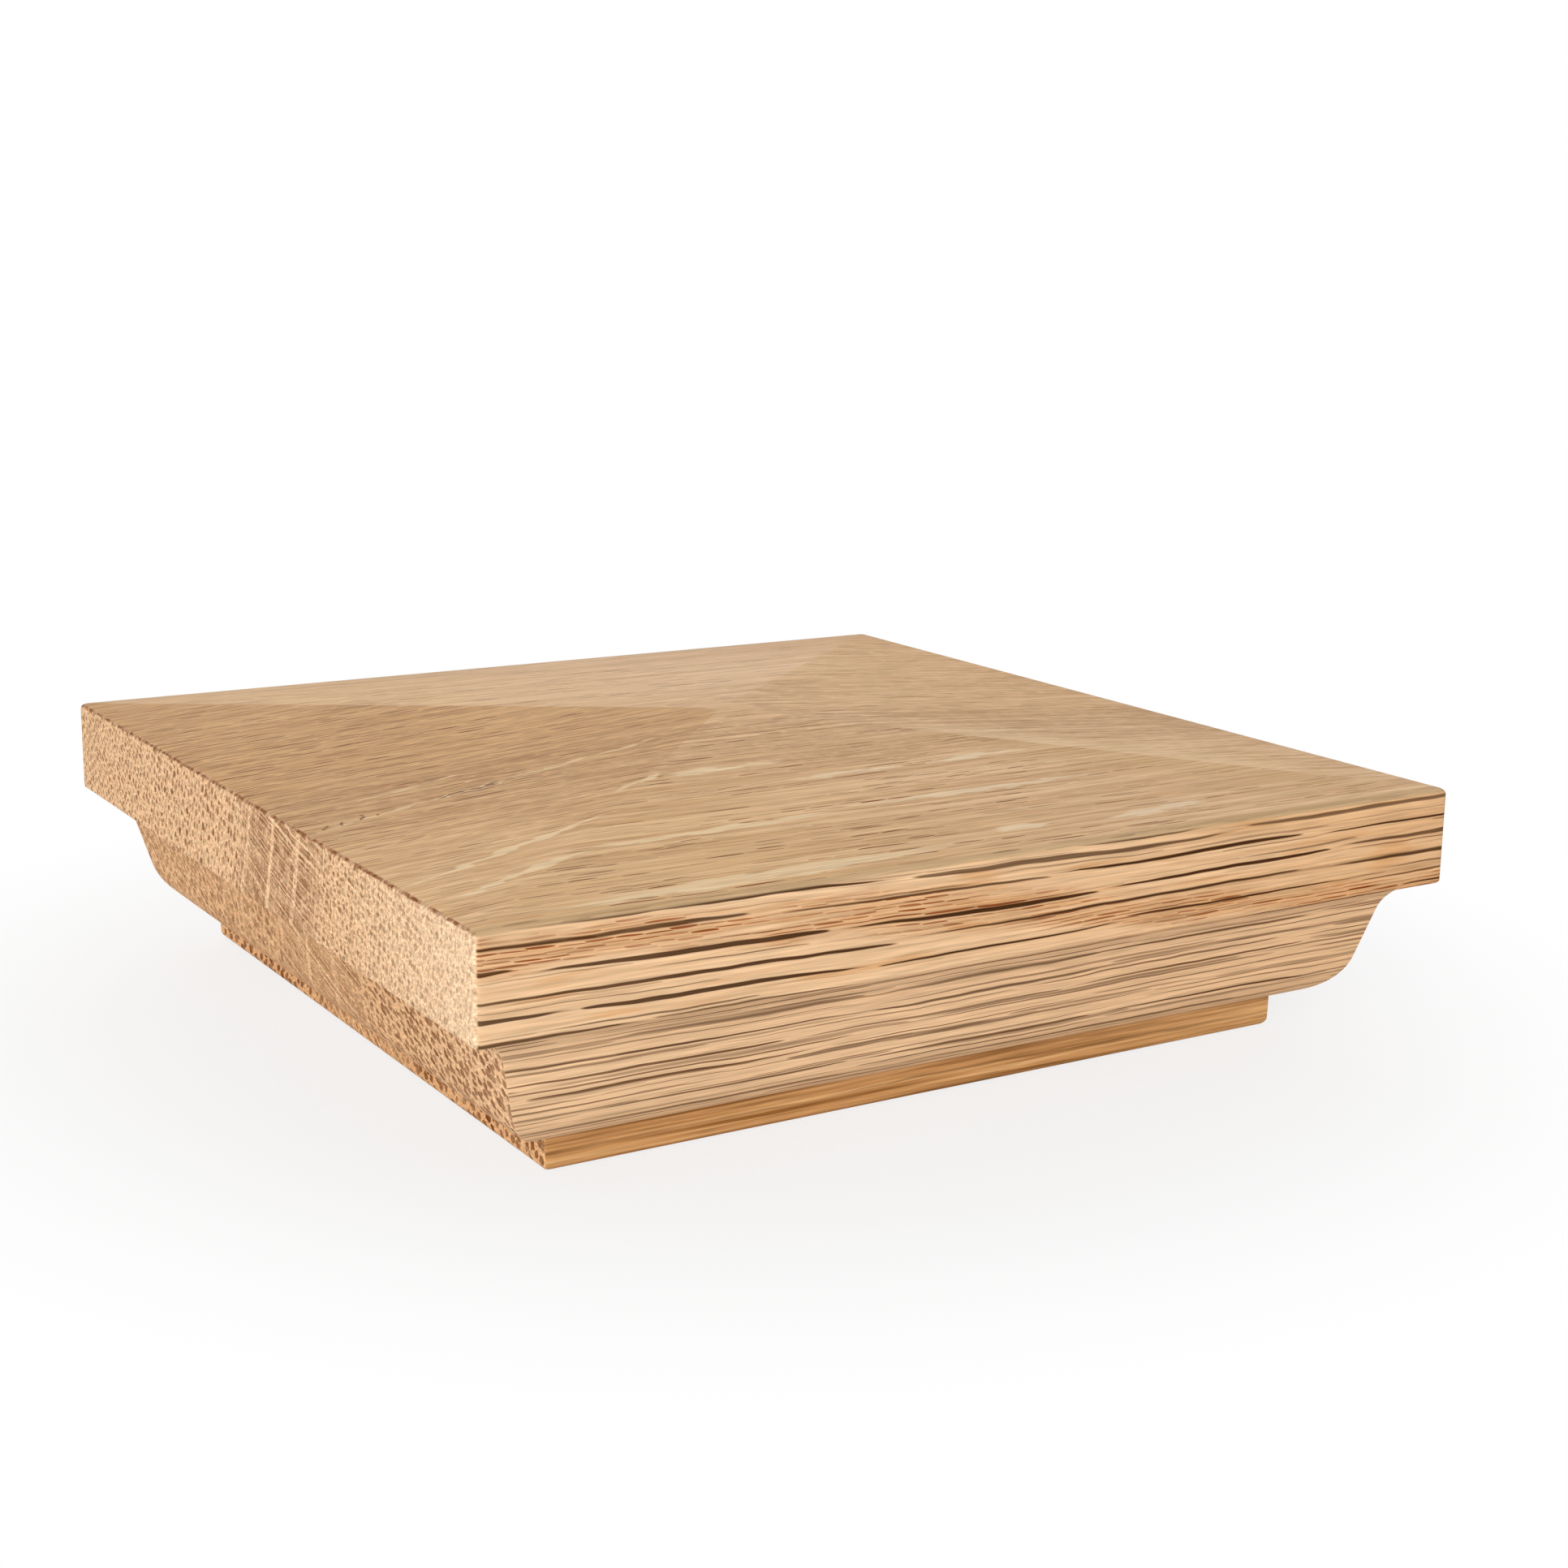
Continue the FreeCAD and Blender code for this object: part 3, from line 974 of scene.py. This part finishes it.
@dataclass(frozen=True)
class SandedOak:
    """Bare oak, sawn and sanded, with no oil or varnish.

    The eye sees a pale peach ground with no gloss. Where the saw crossed the rays they are dark
    spindles, and where it ran along them they are pale ribbons. The pores are dots on the end
    grain and short dashes on the long sides. All of it is one solid pattern about the log's pith.
    """

    name: str = "oak_sanded_bare"
    ground: str = "#ebc59c"
    log: Log = Log()
    layers: tuple[Layer, ...] = (
        Streaks(),
        # The ends are a little pinker, and paler towards the front.
        Wash("#ecc297", ("end_cut",), share=0.8),
        Wash("#f8d6b2", ("end_cut",), {"across": (-25.0, -57.0, 0.0, 0.7)}),
        # Slow rings are darker, in lumps of 1.4 mm, and leave a pale line at the start of each ring.
        Wash("#946540", ("slow", "late"), {"end_cut": (0.0, 1.0, 0.24, 0.9)},
             {Cloud((1.4, 1.4, 1.4), 2.0): (0.35, 0.6, 0.35, 1.0)}),
        # The plinth was sawn and not sanded: streaky honey on the long sides, orange on the ends.
        Wash("#c48d52", PLINTH_SIDE, share=0.85),
        Wash("#80501f", PLINTH_SIDE, clouds={PLINTH_STREAKS: (0.5, 0.66)}, share=0.8),
        Wash(HONEY_PALE, PLINTH_SIDE, clouds={PLINTH_STREAKS: (0.48, 0.34)}, share=0.8),
        # Paler towards the right: painted light that lifts the shade under the ogee there.
        Wash(HONEY_PALE, PLINTH_SIDE, {"along": (0.0, 45.0, 0.0, 0.34)}),
        Wash("#e0ab76", ("end_cut",), heights=((0.0, 0.55, 1.0),), share=0.75),
        # Soft stains on the long sides: smudges, a warmer right, and where a ring starts.
        Wash(STAIN, ("tangent_cut", "fascia"), clouds={Cloud((11.0, 2.0, 1.1), 1.0): (0.6, 0.74)}, share=0.5),
        Wash(STAIN, ("sanded_side",), {"along": (-10.0, 50.0, 0.06, 0.34)}, heights=((1.0, 0.45, 0.0),)),
        Wash(STAIN, RING_START, clouds=RUST_PATCHES, share=0.4),
        # Rust-brown pores there. Real ones are about 0.3 mm wide and lie closer: fewer are drawn, so that
        # each shows.
        Wash("#8a4014", RING_START, clouds=RUST_PATCHES, dashes=(
            Rows(pitch=0.44, length=3.6, thin=0.04, thick=0.11, soft=0.03, stray=0.4, faint=0.4, skew=1.0,
                 seed=11.0, blunt=0.25, drawn=0.35),
        )),
        TopPores(),
        EndPores(),
        Rays(),
        Marks(),
        SlopeTones(),
        # The eave is dulled along the long sides, and its fibres are torn along the ends.
        Wash("#b29b74", ("upward",), {"sideward": (55.9, 56.8)}, share=0.4),
        Wash("#85502a", ("fascia", "upward"), {"lean": (0.3, 0.46)},
             {Cloud((1.0, 1.0, 1.0), 2.0): (0.4, 0.62, 0.3, 1.0)}),
        FineFibres(),
    )
    relief_strength: float = 0.4
    relief_depth: float = 0.08
    roughness: float = 0.7
    gloss: float = 0.05

    def build(self) -> bpy.types.Material:
        """Make the material.

        Returns:
            The oak, ready for a mesh that sits at the origin.
        """
        material = bpy.data.materials.new(self.name)
        tree = blank_tree(material)
        grain = self.log.read(tree)
        colour = linear_colour(self.ground)
        for layer in self.layers:
            colour = layer.draw(tree, grain, colour)
        relief = add_node(tree, "ShaderNodeBump", {
            "Height": grain.fibre,
            "Strength": self.relief_strength,
            "Distance": metres(self.relief_depth),
        })
        surface = add_node(tree, "ShaderNodeBsdfPrincipled", {
            "Base Color": colour,
            "Roughness": self.roughness,
            "Specular IOR Level": self.gloss,
            "Normal": relief,
        })
        add_node(tree, "ShaderNodeOutputMaterial", {"Surface": surface})
        return material


@dataclass(frozen=True)
class Turn:
    """A turning point of the cap's half section, in millimetres.

    reach is the distance from the middle, round_over the curve of the section at the point, and
    mitre_round how far the upright corner is eased at that level.
    """

    reach: float
    height: float
    round_over: float
    mitre_round: float


@dataclass
class PostCap:
    """The oak block: shallow pyramid, fascia, mitred ogee and plinth.

    Sizes are in millimetres, and angles in degrees. A rounded turn has arc_points for each
    millimetre of its radius, and least_points more.
    """

    oak: SandedOak
    low: Vector
    high: Vector
    body: str = "root"
    node: str = "post_cap"
    slot: str = "oak"
    pyramid_rise: float = 4.2
    fascia_height: float = 10.5
    plinth_height: float = 4.0
    overhang: float = 12.5
    flank_angle: float = 75.0
    cove_round: float = 4.5
    bead_round: float = 6.4
    eave_arris: float = 0.6
    fascia_arris: float = 0.36
    foot_arris: float = 0.9
    mitre_arris: float = 0.15
    fascia_mitre: float = 0.6
    foot_mitre: float = 0.3
    side_columns: int = 150
    corner_columns: int = 4
    row_step: float = 0.8
    most_rows: int = 22
    arc_points: float = 2.0
    least_points: float = 4.0
    weld_distance: float = 0.001
    crisp_angle: float = 40.0

    def turns(self) -> list[Turn]:
        """Work out the half section from the apex, down the outside, to the middle of the underside.

        Returns:
            The section's turning points in order.
        """
        half = (self.high.x - self.low.x) / 2.0 * MM_PER_M
        apex = self.high.z * MM_PER_M
        eave = apex - self.pyramid_rise
        soffit = eave - self.fascia_height
        plinth = half - self.overhang
        ogee = soffit - self.plinth_height
        lean = math.radians(self.flank_angle)
        # Of the level run beside the flank, the cove and the fascia's arris take what they need to be
        # tangent, and the bead gets the rest.
        run = self.overhang - ogee / math.tan(lean)
        cove_run = min(self.cove_round * math.tan(lean / 2.0) + self.fascia_arris, run)
        bead = plinth + run - cove_run
        cove = half - cove_run
        return [
            Turn(0.0, apex, 0.0, 0.0),
            Turn(half, eave, self.eave_arris, self.fascia_mitre),
            Turn(half, soffit, self.fascia_arris, self.fascia_mitre),
            Turn(cove, soffit, self.cove_round, self.mitre_arris),
            Turn(bead, self.plinth_height, self.bead_round, self.mitre_arris),
            Turn(plinth, self.plinth_height, 0.0, self.mitre_arris),
            Turn(plinth, 0.0, self.foot_arris, self.foot_mitre),
            Turn(0.0, 0.0, 0.0, 0.0),
        ]

    def section(self) -> bpy.types.Object:
        """Draw the half section as a chain of points in the XZ plane.

        Returns:
            An object that holds the chain and the roundings of its points.
        """
        turns = self.turns()
        mesh = bpy.data.meshes.new("cap_section")
        points = [(metres(t.reach), 0.0, metres(t.height)) for t in turns]
        mesh.from_pydata(points, [(i, i + 1) for i in range(len(points) - 1)], [])
        for name in ("round_over", "mitre_round"):
            values = mesh.attributes.new(name, "FLOAT", "POINT")
            values.data.foreach_set("value", [metres(getattr(t, name)) for t in turns])
        piece = bpy.data.objects.new("post_cap_block", mesh)
        bpy.context.scene.collection.objects.link(piece)
        return piece

    def sweep_tree(self) -> Tree:
        """Build the Geometry Nodes that carry the half section round the square.

        Returns:
            The node group, with named inputs for its sizes.
        """
        tree = bpy.data.node_groups.new("mitred_sweep", "GeometryNodeTree")
        kinds = {
            "Section": "NodeSocketGeometry",
            "Side Columns": "NodeSocketInt",
            "Corner Columns": "NodeSocketInt",
            "Row Step": "NodeSocketFloat",
            "Most Rows": "NodeSocketInt",
            "Oak": "NodeSocketMaterial",
        }
        for name, kind in kinds.items():
            tree.interface.new_socket(name, in_out="INPUT", socket_type=kind)
        tree.interface.new_socket("Block", in_out="OUTPUT", socket_type="NodeSocketGeometry")
        given = add_node(tree, "NodeGroupInput")
        profile = self.rounded_section(tree, given)
        block = self.square_sweep(tree, given, profile)
        block = add_node(tree, "GeometryNodeMergeByDistance", {
            "Geometry": block,
            "Distance": metres(self.weld_distance),
        })
        bend = add_node(tree, "GeometryNodeInputMeshEdgeAngle")
        crisp = add_node(tree, "FunctionNodeCompare", {
            "A": bend.outputs["Unsigned Angle"],
            "B": math.radians(self.crisp_angle),
        }, operation="GREATER_THAN")
        block = add_node(tree, "GeometryNodeSetShadeSmooth", {"Geometry": block, "Shade Smooth": True},
                         domain="FACE")
        block = add_node(tree, "GeometryNodeSetShadeSmooth", {
            "Geometry": block,
            "Selection": crisp,
            "Shade Smooth": False,
        }, domain="EDGE")
        block = add_node(tree, "GeometryNodeRealizeInstances", {"Geometry": block})
        oak = given.outputs["Oak"]
        block = add_node(tree, "GeometryNodeSetMaterial", {"Geometry": block, "Material": oak})
        add_node(tree, "NodeGroupOutput", {"Block": block})
        return tree

    def rounded_section(self, tree: Tree, given: Node) -> Node:
        """Round the section's turns and divide its long straights.

        Args:
            tree: The node group.
            given: Its inputs.

        Returns:
            Node that gives the section as a curve.
        """
        curve = add_node(tree, "GeometryNodeMeshToCurve", {"Mesh": given.outputs["Section"]})
        radius = add_node(tree, "GeometryNodeInputNamedAttribute", {"Name": "round_over"}, data_type="FLOAT")
        count = add_node(tree, MATH, [radius, self.arc_points * MM_PER_M, self.least_points],
                         operation="MULTIPLY_ADD")
        curve = add_node(tree, "GeometryNodeFilletCurve", {"Curve": curve, "Radius": radius, "Count": count},
                         mode="POLY")
        travel = add_node(tree, "GeometryNodeSplineParameter").outputs["Length"]
        index = add_node(tree, "GeometryNodeInputIndex")
        after = add_node(tree, MATH, [index, 1.0], operation="ADD")
        ahead = add_node(tree, "GeometryNodeFieldAtIndex", {"Index": after, "Value": travel},
                         data_type="FLOAT", domain="POINT")
        length = add_node(tree, MATH, [ahead, travel], operation="SUBTRACT")
        cuts = add_node(tree, MATH, [length, given.outputs["Row Step"]], operation="DIVIDE")
        cuts = add_node(tree, MATH, [cuts, given.outputs["Most Rows"]], operation="MINIMUM")
        return add_node(tree, "GeometryNodeSubdivideCurve", {"Curve": curve, "Cuts": cuts})

    def square_sweep(self, tree: Tree, given: Node, profile: Node) -> Node:
        """Stand the section round a square whose corners are mitred and slightly eased.

        Args:
            tree: The node group.
            given: Its inputs.
            profile: Node that gives the section as a curve.

        Returns:
            Node that gives the swept mesh, open at its seam.
        """
        count = add_node(tree, "GeometryNodeAttributeDomainSize", {"Geometry": profile}, component="CURVE")
        rows = count.outputs["Point Count"]
        straight = given.outputs["Side Columns"]
        side = add_node(tree, MATH, [straight, given.outputs["Corner Columns"]], operation="ADD")
        columns = add_node(tree, MATH, [side, SIDES, 1.0], operation="MULTIPLY_ADD")
        grid = add_node(tree, "GeometryNodeMeshGrid", {"Vertices X": columns, "Vertices Y": rows})
        index = add_node(tree, "GeometryNodeInputIndex")
        column = add_node(tree, MATH, [index, rows], operation="DIVIDE")
        column = add_node(tree, MATH, [column], operation="FLOOR")
        row = add_node(tree, MATH, [index, rows], operation="MODULO")
        spot = add_node(tree, "GeometryNodeInputPosition")
        level = add_node(tree, "GeometryNodeSampleIndex", {"Geometry": profile, "Value": spot, "Index": row},
                         data_type="FLOAT_VECTOR", domain="POINT")
        level = add_node(tree, SPLIT, [level])
        ease = add_node(tree, "GeometryNodeInputNamedAttribute", {"Name": "mitre_round"}, data_type="FLOAT")
        ease = add_node(tree, "GeometryNodeSampleIndex", {"Geometry": profile, "Value": ease, "Index": row},
                        data_type="FLOAT", domain="POINT")
        ease = add_node(tree, MATH, [ease, level.outputs["X"]], operation="MINIMUM")
        inner = add_node(tree, MATH, [level.outputs["X"], ease], operation="SUBTRACT")
        step = add_node(tree, MATH, [column, side], operation="MODULO")
        slide = add_node(tree, RANGE, [step, 0.0, straight, -1.0, 1.0])
        swing = add_node(tree, RANGE, [step, straight, side, 0.0, QUARTER_TURN])
        bulge = add_node(tree, MATH, [swing], operation="SINE")
        bulge = add_node(tree, MATH, [bulge, ease], operation="MULTIPLY")
        x = add_node(tree, MATH, [slide, inner, bulge], operation="MULTIPLY_ADD")
        back = add_node(tree, MATH, [swing], operation="COSINE")
        back = add_node(tree, MATH, [back, ease], operation="MULTIPLY")
        y = add_node(tree, MATH, [inner, back], operation="ADD")
        y = add_node(tree, MATH, [y, -1.0], operation="MULTIPLY")
        point = add_node(tree, JOIN, [x, y, level.outputs["Z"]])
        quarter = add_node(tree, MATH, [column, side], operation="DIVIDE")
        quarter = add_node(tree, MATH, [quarter], operation="FLOOR")
        angle = add_node(tree, MATH, [quarter, QUARTER_TURN], operation="MULTIPLY")
        point = add_node(tree, "ShaderNodeVectorRotate", {"Vector": point, "Angle": angle},
                         rotation_type="Z_AXIS")
        return add_node(tree, "GeometryNodeSetPosition", {"Geometry": grid, "Position": point})

    def build(self) -> bpy.types.Object:
        """Sweep the block and turn it into a plain mesh.

        Returns:
            The cap's visible piece.
        """
        piece = self.section()
        tree = self.sweep_tree()
        modifier = piece.modifiers.new("mitred_sweep", "NODES")
        modifier.node_group = tree
        values = {
            "Side Columns": self.side_columns,
            "Corner Columns": self.corner_columns,
            "Row Step": metres(self.row_step),
            "Most Rows": self.most_rows,
            "Oak": self.oak.build(),
        }
        for item in tree.interface.items_tree:
            if item.in_out == "INPUT" and item.name in values:
                modifier[item.identifier] = values[item.name]
        seen = piece.evaluated_get(bpy.context.evaluated_depsgraph_get())
        mesh = bpy.data.meshes.new_from_object(seen)
        piece.modifiers.remove(modifier)
        piece.data = mesh
        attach(piece, self.body)
        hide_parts(self.node)
        return piece


@dataclass(frozen=True)
class Lamp:
    """A soft panel of light. Places are in metres, and power in watts."""

    name: str
    place: tuple[float, float, float]
    size: float
    power: float


@dataclass
class Studio:
    """A white room: pale floor, even sky that is dimmer overhead, and soft panels at the sides.

    Places and sizes are in metres, the sensor in millimetres, and the camera's turn in degrees.
    shadow_fade says how white the floor looks near the cap and away from it.
    """

    aim: Vector
    floor_size: float = 6.0
    paper_grey: float = 0.8
    shadow_fade: Ramp = (0.06, 0.115, 0.78, 1.0)
    horizon: float = 0.8
    zenith: float = 0.36
    lamps: tuple[Lamp, ...] = (
        Lamp("front_panel", (-0.95, -1.0, 0.36), 0.9, 15.0),
        Lamp("back_panel", (0.35, 1.3, 0.5), 0.9, 9.0),
    )
    photo_pixels: float = 1932.0
    focal_pixels: float = 3075.9
    sensor: float = 36.0
    nearest: float = 0.01
    eye: tuple[float, float, float] = (-0.14198, -0.24338, 0.08781)
    look: tuple[float, float, float] = (77.157, -0.761, -31.582)

    def build(self) -> None:
        """Set up the floor, the sky, the lamps and the camera."""
        self.floor()
        self.sky()
        for lamp in self.lamps:
            self.panel(lamp)
        self.camera()
        bpy.context.scene.view_settings.view_transform = "Standard"

    def plain_rays(self, tree: Tree) -> Node:
        """Pick the rays that see plain white: the camera's, also through glass and by a mirror.

        Args:
            tree: Node tree of the floor or the sky.

        Returns:
            1 for such a ray, and 0 for one that carries light.
        """
        path = add_node(tree, "ShaderNodeLightPath")
        seen = path.outputs["Is Camera Ray"]
        for kind in ("Is Glossy Ray", "Is Transmission Ray"):
            seen = add_node(tree, MATH, [seen, path.outputs[kind]], operation="MAXIMUM")
        return seen

    def floor(self) -> bpy.types.Object:
        """Lay a white floor that keeps the cap's shadow and fades to plain white.

        Returns:
            The floor.
        """
        half = self.floor_size / 2.0
        mesh = bpy.data.meshes.new("floor")
        corners = [(-half, -half, 0.0), (half, -half, 0.0), (half, half, 0.0), (-half, half, 0.0)]
        mesh.from_pydata(corners, [], [(0, 1, 2, 3)])
        floor = bpy.data.objects.new("floor", mesh)
        bpy.context.scene.collection.objects.link(floor)
        material = bpy.data.materials.new("floor_white_paper")
        tree = blank_tree(material)
        grey = self.paper_grey
        matt = add_node(tree, "ShaderNodeBsdfDiffuse", {"Color": (grey, grey, grey, 1.0)})
        glow = add_node(tree, "ShaderNodeEmission", {"Color": WHITE, "Strength": 1.0})
        place = add_node(tree, PLACE).outputs["Object"]
        away = add_node(tree, VECTOR, [place], operation="LENGTH")
        fade = add_node(tree, RANGE, [away, *self.shadow_fade], interpolation_type=SOFT)
        share = add_node(tree, MATH, [self.plain_rays(tree), fade], operation="MULTIPLY")
        paper = add_node(tree, "ShaderNodeMixShader", [share, matt, glow])
        add_node(tree, "ShaderNodeOutputMaterial", {"Surface": paper})
        mesh.materials.append(material)
        return floor

    def sky(self) -> None:
        """Light the room evenly, dimmer overhead, behind a background that is plain white to the eye."""
        world = bpy.data.worlds.new("white_room")
        tree = blank_tree(world)
        way = add_node(tree, SPLIT, [add_node(tree, PLACE).outputs["Generated"]])
        level = add_node(tree, RANGE, [way.outputs["Z"], 0.0, 1.0, self.horizon, self.zenith])
        room = add_node(tree, "ShaderNodeBackground", {"Color": WHITE, "Strength": level})
        plain = add_node(tree, "ShaderNodeBackground", {"Color": WHITE, "Strength": 1.0})
        both = add_node(tree, "ShaderNodeMixShader", [self.plain_rays(tree), room, plain])
        add_node(tree, "ShaderNodeOutputWorld", {"Surface": both})
        bpy.context.scene.world = world

    def panel(self, lamp: Lamp) -> bpy.types.Object:
        """Hang one soft panel and point it at the cap.

        Args:
            lamp: Its place, size and power.

        Returns:
            The lamp.
        """
        light = bpy.data.lights.new(lamp.name, "AREA")
        light.size = lamp.size
        light.energy = lamp.power
        panel = bpy.data.objects.new(lamp.name, light)
        panel.location = lamp.place
        panel.rotation_euler = (self.aim - Vector(lamp.place)).to_track_quat("-Z", "Y").to_euler()
        bpy.context.scene.collection.objects.link(panel)
        return panel

    def camera(self) -> bpy.types.Object:
        """Stand the camera at the photograph's point of view.

        Returns:
            The camera.
        """
        data = bpy.data.cameras.new("photo_view")
        data.sensor_width = self.sensor
        data.sensor_fit = "HORIZONTAL"
        data.lens = self.sensor * self.focal_pixels / self.photo_pixels
        data.clip_start = self.nearest
        camera = bpy.data.objects.new("photo_view", data)
        camera.location = self.eye
        camera.rotation_euler = [math.radians(a) for a in self.look]
        bpy.context.scene.collection.objects.link(camera)
        bpy.context.scene.camera = camera
        return camera


def main() -> None:
    """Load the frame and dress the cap."""
    logging.basicConfig(level=logging.INFO, format="%(name)s: %(message)s")
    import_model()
    low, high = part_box("post_cap")
    cap = PostCap(oak=SandedOak(), low=low, high=high)
    piece = cap.build()
    LOG.info("%s: %d faces", piece.name, len(piece.data.polygons))
    Studio(aim=(low + high) / 2.0).build()


if __name__ == "__main__":
    main()
